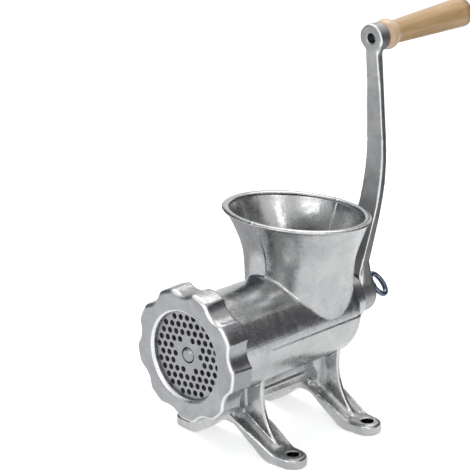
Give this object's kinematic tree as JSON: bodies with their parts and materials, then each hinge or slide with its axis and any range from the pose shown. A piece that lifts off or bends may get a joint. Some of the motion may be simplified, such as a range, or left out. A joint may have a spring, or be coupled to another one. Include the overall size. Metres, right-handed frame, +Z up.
{
  "type": "manual meat grinder",
  "caption": "Hand-cranked bolt-down meat grinder: flared hopper, barrel with lobed ring nut and perforated plate, feed worm, crossed knife, crank with wooden grip.",
  "frame": {"origin": "midway between the four foot holes, on the table", "axes": "+Z up, +Y along the barrel from the cutting plate towards the crank and grip, +X across the feet"},
  "size_m": [0.172, 0.4137, 0.4021],
  "materials": {
    "tinned_iron": "bright tinned, satin cast surface",
    "ring_iron": "bright tinned, satin cast surface",
    "crank_iron": "tinned, duller cast surface",
    "worm_iron": "tinned cast surface",
    "plate_steel": "ground",
    "knife_steel": "ground",
    "bright_steel": "turned, plain",
    "zinc_steel": "bright zinc plated",
    "beech": "clear varnish"
  },
  "bodies": {
    "casting": {"housing": "tinned_iron", "plate_pin": "bright_steel"},
    "drive": {"feed_worm": "worm_iron", "worm_stud": "bright_steel", "cross_knife": "knife_steel", "thrust_washer": "bright_steel"},
    "plate": {"cutting_plate": "plate_steel"},
    "ring": {"ring_nut": "ring_iron"},
    "crank": {"crank_arm": "crank_iron", "screw_washer": "zinc_steel", "grip_spindle": "bright_steel", "grip_washer": "zinc_steel", "grip_end_washer": "zinc_steel"},
    "screw": {"thumb_screw": "zinc_steel"},
    "handle": {"grip": "beech"}
  },
  "joints": [
    {"name": "drive_turn", "type": "hinge", "parent": "casting", "child": "drive", "pos_m": [0, 0, 0.1155], "axis": [0, 1, 0], "continuous": true},
    {"name": "plate_slide", "type": "slide", "parent": "casting", "child": "plate", "axis": [0, -1, 0], "range_m": [0, 0.0185]},
    {"name": "ring_turn", "type": "hinge", "parent": "plate", "child": "ring", "pos_m": [0, -0.12, 0.1155], "axis": [0, -1, 0], "range_deg": [0, 1620]},
    {"name": "crank_slide", "type": "slide", "parent": "drive", "child": "crank", "axis": [0, 1, 0], "range_m": [0, 0.018]},
    {"name": "screw_turn", "type": "hinge", "parent": "crank", "child": "screw", "pos_m": [0, 0.14, 0.1155], "axis": [0, 1, 0], "range_deg": [0, 4321]},
    {"name": "grip_turn", "type": "hinge", "parent": "crank", "child": "handle", "pos_m": [0, 0.135, 0.3815], "axis": [0, 0.9994, 0.034], "continuous": true}
  ],
  "couplings": [
    {"joint": "plate_slide", "follows": "ring_turn", "m_per_rad": 0.00063662},
    {"joint": "screw_turn", "follows": "crank_slide", "rad_per_m": 4188.8}
  ]
}
